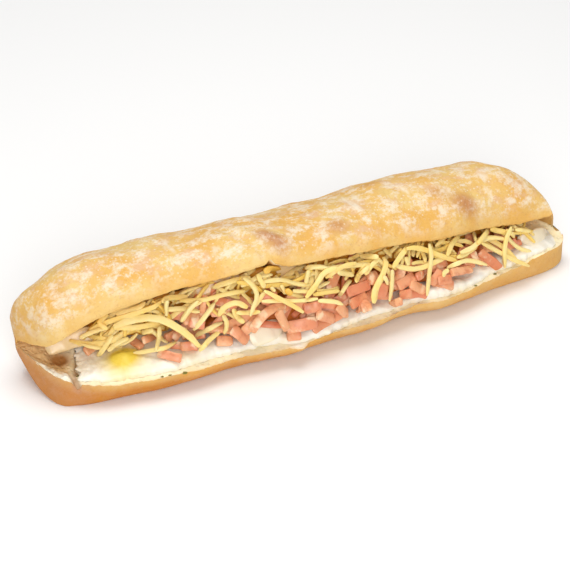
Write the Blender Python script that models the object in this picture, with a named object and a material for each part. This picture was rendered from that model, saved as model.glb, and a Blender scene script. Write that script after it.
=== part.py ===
"""A submarine sandwich: a floured roll slit along its front, spread with cream and filled with ham, grated
cheese and onion. +X runs along the roll, the open side faces -Y, and it lies on its flat base at z = 0."""

import math
import random
from itertools import product

import bmesh
import bpy
from mathutils import Vector, noise
from mathutils.bvhtree import BVHTree

MM = 0.001

# Driving dimensions of the roll
ROLL_LENGTH = 275 * MM
ROLL_WIDTH = 72 * MM
HINGE_HEIGHT = 21 * MM
HINGE_WALL = 0.17
CROTCH_HEIGHT = 17.5 * MM
BACK_FOOT = 0.62
LEFT_TIP_LIFT, RIGHT_TIP_LIFT = 17 * MM, 2 * MM
LID_TIP_INSET = 7 * MM
CROWN_HEIGHT = 25 * MM
CRUST_RELIEF = 1 * MM
CRUMB_RELIEF = 0.5 * MM
RELIEF_PITCH = 22 * MM

# How the roll opens, in mm at shares of the half length, from the left tip to the right one
LIP_HEIGHT = ((-1, 20), (-0.92, 15), (-0.8, 12.5), (-0.6, 11.5), (0.5, 12), (0.85, 13), (1, 13))
LID_EDGE_HEIGHT = ((-1, 23), (-0.93, 29.5), (-0.85, 36.5), (-0.78, 41), (-0.63, 46), (-0.34, 50), (-0.2, 52.5),
                   (-0.14, 49), (0.1, 46), (0.39, 39.5), (0.54, 36.5), (0.69, 32.5), (0.83, 29.5), (0.92, 29),
                   (1, 31))
LID_SETBACK = ((-1, 1), (-0.9, 6), (-0.78, 11), (-0.55, 13.5), (-0.35, 10.4), (0.3, 10), (0.5, 12.3),
               (0.7, 10.2), (0.9, 6.3), (1, 1))
LIP_REACH = ((-1, 1), (-0.85, 0.98), (-0.62, 0.94), (-0.36, 0.87), (-0.1, 0.9), (0.3, 0.9), (0.48, 1.01),
             (0.7, 0.93), (1, 1))
CROWN_SHARE = ((-1, 1.3), (-0.85, 1.24), (-0.65, 0.98), (-0.4, 0.84), (-0.1, 0.8), (0.3, 0.94),
               (0.65, 1.12), (0.85, 1.02), (1, 0.1))
FRONT_FOOT = ((-1, 1), (-0.94, 0.97), (-0.87, 0.86), (-0.75, 0.66), (-0.55, 0.54), (-0.3, 0.36), (0, 0.28),
              (0.3, 0.28), (0.5, 0.45), (0.65, 0.62), (0.85, 0.8), (1, 1))
MIDDLE = ((-1, 11), (-0.9, 2.5), (-0.75, -1), (0, 0), (0.5, 3), (0.85, 1), (1, -4))

# The crack in the lid's edge and the gash in the lower lip, at shares of the half length
CRACK_AT, CRACK_WIDTH, CRACK_DEPTH = -0.198, 0.016, 3 * MM
GASH_AT, GASH_WIDTH, GASH_DEPTH = -0.83, 0.02, 6 * MM

# The filling
GAP = 0.5 * MM
SPREAD_THICKNESS = 2.8 * MM
SPREAD_RELIEF = 0.7 * MM
SPREAD_ENDS = (-0.88, 0.95)
CHEESE_ENDS = (-0.83, 0.82)
HAM_ENDS = (-0.46, 0.81)
CLOSED = 10.5 * MM
FILLING_SETBACK = ((-1, 12), (-0.8, 17), (-0.5, 18), (-0.28, 9), (0.5, 8), (0.85, 9), (1, 9))
HAM_DEPTH = ((-0.5, 4), (-0.2, 9), (0.3, 12), (0.8, 9), (1, 6))
HAM_STRIP = 3.6 * MM
HAM_STRIPS = 40
SHRED = 2.3 * MM
SHREDS = 52
ONION = 1.7 * MM
OUTWARD = Vector((0, -0.8, 0.6))

# Pieces that lie by themselves: share of the half length, place down the open front from 0 under the lid to 1
# at the spread, length, width, thickness, heading and bend in radians
LOOSE_PIECES = {
    "onion_1": (-0.82, 0.7, 14 * MM, 6 * MM, ONION, 0.2, 0.9),
    "onion_2": (-0.52, 0.25, 26 * MM, 6 * MM, ONION, 0.1, -1.1),
    "onion_3": (-0.2, 0.85, 24 * MM, 9 * MM, ONION, 0.35, 0.7),
    "onion_4": (0.0, 0.25, 20 * MM, 6 * MM, ONION, -0.5, 2),
    "onion_5": (0.81, 0.6, 20 * MM, 6 * MM, ONION, 0, -1),
    "ham_2": (-0.8, 0.9, 9 * MM, 5 * MM, 3 * MM, 0.9, 0.2),
    "ham_3": (-0.61, 0.8, 8 * MM, 4.5 * MM, 3 * MM, 0.2, 0.2),
    "ham_4": (-0.52, 0.9, 11 * MM, 4.5 * MM, 3 * MM, -0.3, 0.2),
}

STATIONS = 38
AROUND = 46

CRUST_COLOUR = (0.83, 0.53, 0.22)
SPREAD_COLOUR = (0.93, 0.87, 0.73)
HAM_COLOUR = (0.74, 0.31, 0.22)
CHEESE_COLOUR = (0.88, 0.7, 0.36)
ONION_COLOUR = (0.8, 0.68, 0.45)


def clear_scene():
    for old in list(bpy.data.objects):
        bpy.data.objects.remove(old)


def material(name, colour, roughness):
    made = bpy.data.materials.new(name)
    made.use_nodes = True
    shader = made.node_tree.nodes["Principled BSDF"]
    shader.inputs["Base Color"].default_value = (*colour, 1)
    shader.inputs["Roughness"].default_value = roughness
    shader.inputs["Metallic"].default_value = 0
    return made


def smooth(share):
    share = min(1, max(0, share))
    return share * share * (3 - 2 * share)


def along(knots, t):
    """The value at t of a smooth curve through the knots."""
    slopes = [(b[1] - a[1]) / (b[0] - a[0]) for a, b in zip(knots, knots[1:])]
    turns = [slopes[0], *((a + b) / 2 if a * b > 0 else 0 for a, b in zip(slopes, slopes[1:])), slopes[-1]]
    i = max(0, min(len(slopes) - 1, sum(t > knot[0] for knot in knots) - 1))
    (t0, a), (t1, b) = knots[i], knots[i + 1]
    span, s = t1 - t0, min(1, max(0, (t - t0) / (t1 - t0)))
    arc = turns[i] * span * s * (1 - s) ** 2 - turns[i + 1] * span * s * s * (1 - s)
    return a + (b - a) * smooth(s) + arc


def relief(point, height, pitch=RELIEF_PITCH):
    """An uneven bump or hollow, up to about height either way."""
    coarse = noise.noise(Vector(point) / pitch)
    fine = noise.noise(Vector(point) / (0.4 * pitch) + Vector((7, 3, 5)))
    return height * (1.3 * coarse + 0.5 * fine)


def notch(t, place, width):
    """1 in the middle of a notch, 0 outside it."""
    return max(0, 1 - abs(t - place) / width)


class Section:
    """The roll's outline in the plane across it at one share t of the half length."""

    def __init__(self, t):
        t = min(0.9985, max(-0.9985, t))
        self.t = t
        self.x = t * ROLL_LENGTH / 2
        taper = (1 - abs(t) ** 3.2) ** 0.55 if t < 0 else (1 - t ** 2.3) ** 0.5
        self.half = ROLL_WIDTH / 2 * taper
        self.middle = along(MIDDLE, t) * MM
        tip = max(0, (abs(t) - 0.87) / 0.13)
        self.base = LEFT_TIP_LIFT * tip ** 5 if t < 0 else RIGHT_TIP_LIFT * tip ** 1.6
        self.lip = (self.middle - self.half * along(LIP_REACH, t), along(LIP_HEIGHT, t) * MM)
        self.back = (self.middle + self.half, HINGE_HEIGHT)
        self.crotch = (self.middle + self.half * (1 - 2 * HINGE_WALL), CROTCH_HEIGHT)
        setback = min(along(LID_SETBACK, t) * MM, 0.6 * self.half)
        self.lid_edge = (self.lip[0] + setback, along(LID_EDGE_HEIGHT, t) * MM)
        self.crown = CROWN_HEIGHT * along(CROWN_SHARE, t) * taper ** 0.4

    def lower(self, y):
        """Height of the lower cut face at depth y."""
        share = (y - self.lip[0]) / (self.crotch[0] - self.lip[0])
        dish = 1.2 * MM * math.sin(math.pi * min(1, max(0, share)))
        flat = self.lip[1] + (self.crotch[1] - self.lip[1]) * share
        return flat - dish + relief((self.x, y, 0), CRUMB_RELIEF)

    def upper(self, y):
        """Height of the lid's cut face at depth y."""
        share = (y - self.lid_edge[0]) / (self.crotch[0] - self.lid_edge[0])
        arch = 1.5 * MM * math.sin(math.pi * min(1, max(0, share)))
        flat = self.lid_edge[1] + (self.crotch[1] - self.lid_edge[1]) * share
        return flat + arch + relief((self.x, y, 0.08), CRUMB_RELIEF)

    def lower_crust(self, share):
        """From the lip, round the base, to the back of the hinge."""
        front = self.middle - along(FRONT_FOOT, self.t) * self.half
        back = self.middle + BACK_FOOT * self.half
        if share < 0.36:
            turn = math.pi / 2 * share / 0.36
            drop = self.lip[1] - self.base
            y = self.lip[0] + (front - self.lip[0]) * (1 - math.cos(turn))
            return (y, self.lip[1] - drop * math.sin(turn))
        if share > 0.64:
            turn = math.pi / 2 * (1 - share) / 0.36
            drop = self.back[1] - self.base
            y = self.back[0] - (self.back[0] - back) * (1 - math.cos(turn))
            return (y, self.back[1] - drop * math.sin(turn))
        return (front + (back - front) * (share - 0.36) / 0.28, self.base)

    def lid_crust(self, share):
        """From the back of the hinge, over the crown, to the lid's front edge."""
        swing = (1 - math.cos(math.pi * share)) / 2
        dy, dz = (self.lid_edge[i] - self.back[i] for i in (0, 1))
        span = math.hypot(dy, dz)
        bulge = self.crown * (1 - abs(2 * swing - 1) ** 2.3) ** 0.52
        y = self.back[0] + dy * swing + bulge * dz / span
        z = self.back[1] + dz * swing - bulge * dy / span
        return (y, z)


def crusty(section, y, z):
    """A point of the crust with its bumps, left flat where the roll rests."""
    fade = smooth((z - section.base - 1 * MM) / (6 * MM))
    bump = relief((section.x, y, z), CRUST_RELIEF) * fade
    middle = Vector((section.middle, HINGE_HEIGHT))
    away = (Vector((y, z)) - middle).normalized()
    crack = notch(section.t, CRACK_AT, 2 * CRACK_WIDTH)
    groove = 1.2 * MM * crack * smooth((z - HINGE_HEIGHT) / (10 * MM)) * smooth(-y / (20 * MM) + 0.5)
    return (y + (bump - groove) * away.x, z + (bump - groove) * away.y)


def roll_point(u, v):
    """The roll's surface: u runs from the left tip to the right one, and v once round the outline."""
    t = math.sin(math.pi * (u - 0.5)) * 0.35 + (2 * u - 1) * 0.65
    if abs(t - CRACK_AT) < 0.6 * CRACK_WIDTH:
        t = CRACK_AT
    if abs(t - GASH_AT) < 0.6 * GASH_WIDTH:
        t = GASH_AT
    s = Section(t)
    x = s.x
    if v < 0.36:
        y, z = crusty(s, *s.lower_crust(v / 0.36))
        z -= GASH_DEPTH * notch(t, GASH_AT, GASH_WIDTH) * smooth(1 - v / 0.06)
    elif v < 0.87:
        x -= LID_TIP_INSET * smooth((t - 0.9) / 0.1)
        if v < 0.74:
            share = (v - 0.36) / 0.38
            y, z = crusty(s, *s.lid_crust(share))
        else:
            share = (v - 0.74) / 0.13
            y = s.lid_edge[0] + (s.crotch[0] - s.lid_edge[0]) * share
            y += 0.6 * MM * (1 - share)
            z = s.upper(y)
        z += CRACK_DEPTH * notch(t, CRACK_AT, CRACK_WIDTH) * smooth(1 - abs(v - 0.74) / 0.05)
    else:
        share = (v - 0.87) / 0.13
        y = s.crotch[0] + (s.lip[0] - s.crotch[0]) * share
        z = s.lower(y) - 0.4 * MM * share
        z -= GASH_DEPTH * notch(t, GASH_AT, GASH_WIDTH) * smooth(1 - (1 - v) / 0.03)
    return Vector((x, y, z))


def show(name, mesh, finish, smooth_angle=40):
    mesh.materials.append(finish)
    mesh.shade_smooth()
    mesh.set_sharp_from_angle(angle=math.radians(smooth_angle))
    made = bpy.data.objects.new(name, mesh)
    bpy.context.scene.collection.objects.link(made)
    return made


def rolled_up(stations, around, place):
    """A closed mesh: a grid rolled up so that its v edges meet, with its two ends filled."""
    bm = bmesh.new()
    bmesh.ops.create_grid(bm, x_segments=stations, y_segments=around, size=1)
    for vertex in bm.verts:
        turn = round((vertex.co.y + 1) / 2 * around) % around
        vertex.co = place((vertex.co.x + 1) / 2, turn / around)
    bmesh.ops.remove_doubles(bm, verts=bm.verts, dist=0.02 * MM)
    bmesh.ops.holes_fill(bm, edges=[edge for edge in bm.edges if edge.is_boundary])
    bmesh.ops.recalc_face_normals(bm, faces=bm.faces)
    if bm.calc_volume(signed=True) < 0:
        bmesh.ops.reverse_faces(bm, faces=bm.faces)
    return bm


def as_mesh(name, bm):
    mesh = bpy.data.meshes.new(name)
    bm.to_mesh(mesh)
    bm.free()
    return mesh


def layer_point(u, v, ends, front, back, low, high):
    """A point of a layer with rounded edges: v goes along its top to the back, then along its underside."""
    section = Section(ends[0] + (ends[1] - ends[0]) * u)
    y0, y1 = front(section), back(section)
    share = 2 * v if v < 0.5 else 2 - 2 * v
    y = y0 + (y1 - y0) * (1 - math.cos(math.pi * share)) / 2
    under = low(section, y)
    if v > 0.5:
        return Vector((section.x, y, under))
    rounding = math.sqrt(1 - (1 - min(1, 4.5 * share)) ** 2)
    rounding *= math.sqrt(1 - (1 - min(1, 6 * (1 - share))) ** 2)
    ending = 0.25 + 0.75 * smooth(12 * u) * smooth(12 * (1 - u))
    return Vector((section.x, y, under + (high(section, y) - under) * rounding * ending))


def spread_front(section):
    return section.lip[0] + 1.4 * MM + relief((section.x, 0.3, 0), 0.7 * MM, 16 * MM)


def spread_low(section, y):
    return section.lower(y) + GAP


def spread_high(section, y):
    wave = relief((section.x, y, 0.2), SPREAD_RELIEF, 14 * MM)
    return spread_low(section, y) + max(1.4 * MM, SPREAD_THICKNESS + wave)


def filling_back(section):
    """The depth at which the two cut faces have closed up on the filling."""
    y = section.crotch[0]
    while section.upper(y) - section.lower(y) < CLOSED and y > section.lid_edge[0]:
        y -= 0.5 * MM
    return y


def ham_front(section):
    """How far behind the lip the filling starts. The spread shows in front of it."""
    setback = min(along(FILLING_SETBACK, section.t) * MM, 0.45 * (section.crotch[0] - section.lip[0]))
    return section.lip[0] + setback + relief((section.x, 0.1, 0), 1.5 * MM)


def ham_low(section, y):
    return spread_high(section, y) + 2 * GAP


def ham_high(section, y):
    """The ham is as deep as it shows at the front, and thins where the cut faces close up behind it."""
    room = section.upper(y) - ham_low(section, y)
    depth = along(HAM_DEPTH, section.t) * MM + relief((section.x, y, 0.4), 1.5 * MM)
    return ham_low(section, y) + min(depth, 0.42 * room)


def cheese_front(section):
    inset = max(section.lid_edge[0] + 5 * MM, ham_front(section) + 3.5 * MM)
    return inset + relief((section.x, 0.5, 0), 1.5 * MM)


def cheese_low(section, y):
    low = ham_low(section, y)
    ham = smooth((section.t - HAM_ENDS[0] + 0.06) / 0.05)
    return low + (ham_high(section, y) + 3 * GAP - low) * ham


def cheese_high(section, y):
    return section.upper(y) - 1.1 * MM - abs(relief((section.x, y, 0.6), 0.8 * MM))


def object_tree(mesh):
    bm = bmesh.new()
    bm.from_mesh(mesh)
    tree = BVHTree.FromBMesh(bm)
    bm.free()
    return tree


def front_slope(x, share):
    """A point of the filling's open front, from under the lid's edge at 0 to the spread at 1."""
    section = Section(2 * x / ROLL_LENGTH)
    top_y = cheese_front(section) + 1 * MM
    foot_y = ham_front(section) - 1 * MM
    top = Vector((x, top_y, section.upper(top_y) - 3 * MM))
    foot = Vector((x, foot_y, spread_high(section, foot_y) + 1 * MM))
    return top + (foot - top) * share


def slope_path(x, share, length, heading, bend, points):
    """Points on an arc in the open front that starts at x and share and turns by bend over its length."""
    path, step = [], length / (points - 1)
    for i in range(points):
        path.append(front_slope(x, share))
        angle = heading + bend * (i / (points - 1) - 0.5)
        drop = (front_slope(x, 1) - front_slope(x, 0)).length
        x += math.cos(angle) * step
        share -= math.sin(angle) * step / drop
    return path


def drape(path, supports, lift):
    """Lays a path on what it meets from outside, and smooths it so that it spans small dips."""
    heights = []
    for place in path:
        start = place + 25 * MM * OUTWARD
        reached = [tree.ray_cast(start, -OUTWARD, 40 * MM)[3] for tree in supports]
        nearest = min((reach for reach in reached if reach is not None), default=25 * MM)
        heights.append(25 * MM - nearest + lift)
    for _ in range(2):
        for i in range(1, len(path) - 1):
            heights[i] = max(heights[i], (heights[i - 1] + heights[i + 1]) / 2)
    return [place + height * OUTWARD for place, height in zip(path, heights)]


def bar(path, width, depth):
    """A bar of four sides that follows a path and narrows at its ends, its flat side facing out."""
    last = len(path) - 1

    def place(u, v):
        i = round(u * last)
        heading = (path[min(last, i + 1)] - path[max(0, i - 1)]).normalized()
        side = heading.cross(OUTWARD).normalized()
        up = side.cross(heading)
        turn = 2 * math.pi * v + math.pi / 4
        reach = math.sqrt(0.5) * (0.75 if i in (0, last) else 1)
        return path[i] + reach * (side * math.cos(turn) * width + up * math.sin(turn) * depth)

    return rolled_up(last, 4, place)


def within_lip(path):
    """Whether the path stays behind the lower lip wherever it comes down to it."""
    for place in path:
        lip_y, lip_z = Section(2 * place.x / ROLL_LENGTH).lip
        if place.z < lip_z + 2 * MM and place.y < lip_y:
            return False
    return True


def anchored(path, front, low, high, sink):
    """The path with its first point moved into the core behind it, so that the piece is joined on there."""
    section = Section(2 * path[0].x / ROLL_LENGTH)
    y = front(section) + sink
    z = max(low(section, y) + 0.5 * sink, min(high(section, y) - 0.5 * sink, path[0].z))
    return [Vector((path[0].x, y, z)), *path[1:]]


def clear_bar(path, width, depth, fixed, raises=8, held=1):
    """The bar on this path, moved outward but for its held points until it clears every fixed piece."""
    for attempt in range(raises):
        raised = [*path[:held], *(place + attempt * 0.6 * MM * OUTWARD for place in path[held:])]
        thick = bar(raised, width + 2 * GAP, depth + 2 * GAP)
        tree = BVHTree.FromBMesh(thick)
        thick.free()
        if not any(tree.overlap(other) for other in fixed):
            return bar(raised, width, depth)
    return None


def keep_largest(bm):
    """Drops loose scraps, and the inner skins of sealed hollows, which fills them."""
    left, parts = set(bm.verts), []
    while left:
        reach, part = [left.pop()], set()
        while reach:
            vertex = reach.pop()
            part.add(vertex)
            near = [edge.other_vert(vertex) for edge in vertex.link_edges]
            reach += [other for other in near if other in left]
            left.difference_update(near)
        parts.append(part)
    parts.sort(key=len)
    bmesh.ops.delete(bm, geom=[v for part in parts[:-1] for v in part], context="VERTS")


def fuse(name, core, bars, finish):
    """One solid: the core with every bar joined to it by a single union."""
    body = bpy.data.objects.new(name, core)
    bpy.context.scene.collection.objects.link(body)
    group = bpy.data.collections.new(name + "_pieces")
    bpy.context.scene.collection.children.link(group)
    for i, bm in enumerate(bars):
        mesh = as_mesh(f"{name}_piece_{i}", bm)
        group.objects.link(bpy.data.objects.new(mesh.name, mesh))
    union = body.modifiers.new("union", "BOOLEAN")
    union.operation = "UNION"
    union.operand_type = "COLLECTION"
    union.collection = group
    union.solver = "MANIFOLD"
    graph = bpy.context.evaluated_depsgraph_get()
    bm = bmesh.new()
    bm.from_mesh(body.evaluated_get(graph).to_mesh())
    keep_largest(bm)
    bmesh.ops.triangulate(bm, faces=bm.faces)
    body.modifiers.remove(union)
    for helper in list(group.objects):
        bpy.data.objects.remove(helper)
    bpy.data.collections.remove(group)
    bpy.data.objects.remove(body)
    return show(name, as_mesh(name, bm), finish, 30)


def ham_bars(fixed, core):
    """Short strips of diced ham on the lower part of the open front, each joined to the ham behind it."""
    draw = random.Random(11)
    bars = []
    for i in range(4 * HAM_STRIPS):
        t = HAM_ENDS[0] + 0.02 + (HAM_ENDS[1] - HAM_ENDS[0] - 0.08) * (i * 0.618 % 1)
        length = draw.uniform(9, 23) * MM
        heading = draw.choice((0.1, 0.5, -0.4, 1.1, 2.6, -2.9)) + draw.uniform(-0.3, 0.3)
        x = t * ROLL_LENGTH / 2 - math.cos(heading) * length / 2
        path = slope_path(x, draw.uniform(0.4, 1), length, heading, draw.uniform(-0.4, 0.4), 4)
        path = drape(path, [core, *fixed[1:]], draw.uniform(-0.2, 1) * MM)
        path = anchored(path, ham_front, ham_low, ham_high, 2.5 * MM)
        made = clear_bar(path, HAM_STRIP * draw.uniform(0.9, 1.4), HAM_STRIP * draw.uniform(0.8, 1), fixed, 4)
        if made and len(bars) < HAM_STRIPS:
            bars.append(made)
    return bars


def cheese_bars(fixed, core):
    """Shreds of grated cheese over the open front, each starting in the cheese behind it."""
    draw = random.Random(9)
    bars, supports = [], [core, *fixed[1:]]
    for i in range(3 * SHREDS):
        t = CHEESE_ENDS[0] + 0.02 + (CHEESE_ENDS[1] - CHEESE_ENDS[0] - 0.06) * (i * 0.618 % 1)
        length = draw.uniform(16, 36) * MM
        heading = draw.choice((-0.4, -0.9, -1.4, -1.8, -2.3, -2.8, 0.1)) + draw.uniform(-0.2, 0.2)
        x = t * ROLL_LENGTH / 2 - math.cos(heading) * length * 0.4
        path = slope_path(x, draw.uniform(-0.05, 0.45), length, heading, draw.uniform(-1.1, 1.1), 6)
        path = drape(path, supports, SHRED * draw.uniform(0.55, 0.7))
        path = anchored(path, cheese_front, cheese_low, cheese_high, 3 * MM)
        made = clear_bar(path, SHRED * draw.uniform(0.9, 1.2), SHRED * draw.uniform(0.75, 0.95), fixed)
        if made and within_lip(path) and len(bars) < SHREDS:
            supports.append(BVHTree.FromBMesh(made))
            bars.append(made)
    return bars


def loose_piece(name, spec, fixed, finish):
    """A piece by itself at its place, or at the nearest one where it is clear."""
    t, share, length, width, thickness, heading, bend = spec
    x = t * ROLL_LENGTH / 2 - math.cos(heading) * length / 2
    for aside, down in product((0, -3, 3, -6, 6, -9, 9, -12, 12), (0, 0.2, -0.2, 0.4)):
        path = slope_path(x + aside * MM, share + down, length, heading, bend, 7)
        made = clear_bar(drape(path, fixed[1:], 0.6 * thickness), width, thickness, fixed, 6, held=0)
        if made:
            return show(name, as_mesh(name, made), finish).data
    raise RuntimeError(f"{name} found no clear place")


def main():
    clear_scene()
    crust = material("crust", CRUST_COLOUR, 0.75)
    spread_finish = material("cream", SPREAD_COLOUR, 0.45)
    ham_finish = material("ham", HAM_COLOUR, 0.4)
    cheese_finish = material("cheese", CHEESE_COLOUR, 0.5)
    onion_finish = material("onion", ONION_COLOUR, 0.3)

    roll = as_mesh("roll", rolled_up(STATIONS, AROUND, roll_point))
    show("roll", roll, crust)

    spread = as_mesh("cream", rolled_up(34, 16, lambda u, v: layer_point(
        u, v, SPREAD_ENDS, spread_front, filling_back, spread_low, spread_high)))
    show("cream", spread, spread_finish)

    ham_core = as_mesh("ham_core", rolled_up(20, 12, lambda u, v: layer_point(
        u, v, HAM_ENDS, ham_front, filling_back, ham_low, ham_high)))
    cheese_core = as_mesh("cheese_core", rolled_up(28, 12, lambda u, v: layer_point(
        u, v, CHEESE_ENDS, cheese_front, filling_back, cheese_low, cheese_high)))
    bread = [object_tree(mesh) for mesh in (roll, spread)]
    cores = [object_tree(mesh) for mesh in (ham_core, cheese_core)]

    loose = []
    for name, spec in LOOSE_PIECES.items():
        finish = ham_finish if name.startswith("ham") else onion_finish
        loose.append(object_tree(loose_piece(name, spec, [*bread, *cores, *loose], finish)))

    ham = fuse("ham", ham_core, ham_bars([*bread, *loose, cores[1]], cores[0]), ham_finish)
    around_cheese = [*bread, *loose, object_tree(ham.data)]
    fuse("cheese", cheese_core, cheese_bars(around_cheese, cores[1]), cheese_finish)


main()
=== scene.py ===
import math
import random

import bmesh
import bpy
import numpy as np
from mathutils import Matrix, Vector, noise
from mathutils.bvhtree import BVHTree


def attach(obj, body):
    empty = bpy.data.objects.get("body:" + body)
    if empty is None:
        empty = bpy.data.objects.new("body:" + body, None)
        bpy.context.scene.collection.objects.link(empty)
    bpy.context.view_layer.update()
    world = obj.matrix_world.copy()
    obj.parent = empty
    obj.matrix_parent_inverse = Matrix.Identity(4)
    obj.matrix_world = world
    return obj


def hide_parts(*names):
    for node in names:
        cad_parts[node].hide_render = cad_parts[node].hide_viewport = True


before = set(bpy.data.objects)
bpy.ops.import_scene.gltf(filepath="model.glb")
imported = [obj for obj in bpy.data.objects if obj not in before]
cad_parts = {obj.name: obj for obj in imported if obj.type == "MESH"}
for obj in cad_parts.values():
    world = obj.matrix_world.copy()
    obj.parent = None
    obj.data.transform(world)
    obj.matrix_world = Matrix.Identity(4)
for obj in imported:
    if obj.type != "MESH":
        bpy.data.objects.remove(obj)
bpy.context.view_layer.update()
mm = 0.001  # shapes are worked out in mm and scaled when their mesh is finished

# Where the photo was taken from: degrees, mm and pixels of its 570 x 570 frame
photoView = {
    "elevation": 35,
    "azimuth": 24.5,
    "distance": 900,
    "target": (-11, -5, 25),
    "pixelsPerMm": 2.16,
    "frame": 570,
    "centre": (287, 285),
    "sensor": 36,
}


def viewAxes():
    tilt, turn = math.radians(photoView["elevation"]), math.radians(photoView["azimuth"])
    right = Vector((math.cos(turn), -math.sin(turn), 0))
    forward = Vector((math.sin(turn) * math.cos(tilt), math.cos(turn) * math.cos(tilt), -math.sin(tilt)))
    eye = Vector(photoView["target"]) - forward * photoView["distance"]
    return right, right.cross(forward), forward, eye


def toPhoto(place):
    right, up, forward, eye = viewAxes()
    away = place - eye
    reach = photoView["pixelsPerMm"] * photoView["distance"] / away.dot(forward)
    return photoView["centre"][0] + reach * away.dot(right), photoView["centre"][1] - reach * away.dot(up)


def makeCamera():
    right, up, forward, eye = viewAxes()
    lens = bpy.data.cameras.new("photoCamera")
    lens.sensor_width = photoView["sensor"]
    lens.lens = photoView["sensor"] * photoView["pixelsPerMm"] * photoView["distance"] / photoView["frame"]
    lens.shift_x = (photoView["frame"] / 2 - photoView["centre"][0]) / photoView["frame"]
    lens.shift_y = (photoView["centre"][1] - photoView["frame"] / 2) / photoView["frame"]
    lens.clip_start, lens.clip_end = 0.05, 20
    camera = bpy.data.objects.new("photoCamera", lens)
    bpy.context.scene.collection.objects.link(camera)
    camera.matrix_world = Matrix.Translation(eye * mm) @ Matrix((right, up, -forward)).transposed().to_4x4()
    bpy.context.scene.camera = camera


# Small helpers for curves and uneven surfaces
def smooth(share):
    share = min(1, max(0, share))
    return share * share * (3 - 2 * share)


def along(knots, t):
    slopes = [(b[1] - a[1]) / (b[0] - a[0]) for a, b in zip(knots, knots[1:])]
    turns = [slopes[0], *((a + b) / 2 if a * b > 0 else 0 for a, b in zip(slopes, slopes[1:])), slopes[-1]]
    i = max(0, min(len(slopes) - 1, sum(t > knot[0] for knot in knots) - 1))
    (t0, a), (t1, b) = knots[i], knots[i + 1]
    span, s = t1 - t0, min(1, max(0, (t - t0) / (t1 - t0)))
    arc = turns[i] * span * s * (1 - s) ** 2 - turns[i + 1] * span * s * s * (1 - s)
    return a + (b - a) * smooth(s) + arc


def relief(point, height, pitch=22):
    coarse = noise.noise(Vector(point) / pitch)
    fine = noise.noise(Vector(point) / (0.4 * pitch) + Vector((7, 3, 5)))
    return height * (1.3 * coarse + 0.5 * fine)


def notch(t, place, width):
    return max(0, 1 - abs(t - place) / width)


def spot(x, y, spotX, spotY, radiusX, radiusY):
    return math.exp(-((x - spotX) / radiusX) ** 2 - ((y - spotY) / radiusY) ** 2)


# Grid of mesh with its v edges rolled together and its ends filled; place gives a point and the marks to keep
def rolledUp(stations, around, place, marks=()):
    bm = bmesh.new()
    layers = [bm.verts.layers.float.new(name) for name in marks]
    bmesh.ops.create_grid(bm, x_segments=stations, y_segments=around, size=1)
    for vertex in bm.verts:
        turn = round((vertex.co.y + 1) / 2 * around) % around
        point, values = place((vertex.co.x + 1) / 2, turn / around)
        vertex.co = point
        for layer, value in zip(layers, values):
            vertex[layer] = value
    bmesh.ops.remove_doubles(bm, verts=bm.verts, dist=0.01)
    bmesh.ops.holes_fill(bm, edges=[edge for edge in bm.edges if edge.is_boundary])
    bmesh.ops.recalc_face_normals(bm, faces=bm.faces)
    if bm.calc_volume(signed=True) < 0:
        bmesh.ops.reverse_faces(bm, faces=bm.faces)
    return bm


def finishPiece(name, bm, nodes, materials, sharpAngle=50):
    bmesh.ops.scale(bm, vec=(mm, mm, mm), verts=bm.verts)
    mesh = bpy.data.meshes.new(name)
    bm.to_mesh(mesh)
    bm.free()
    for material in materials:
        mesh.materials.append(material)
    mesh.shade_smooth()
    mesh.set_sharp_from_angle(angle=math.radians(sharpAngle))
    piece = bpy.data.objects.new(name, mesh)
    bpy.context.scene.collection.objects.link(piece)
    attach(piece, "root")
    if nodes:
        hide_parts(*nodes)
    print(name, len(mesh.polygons), "faces")
    return piece


def treeOf(bm):
    return BVHTree.FromBMesh(bm)


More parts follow.
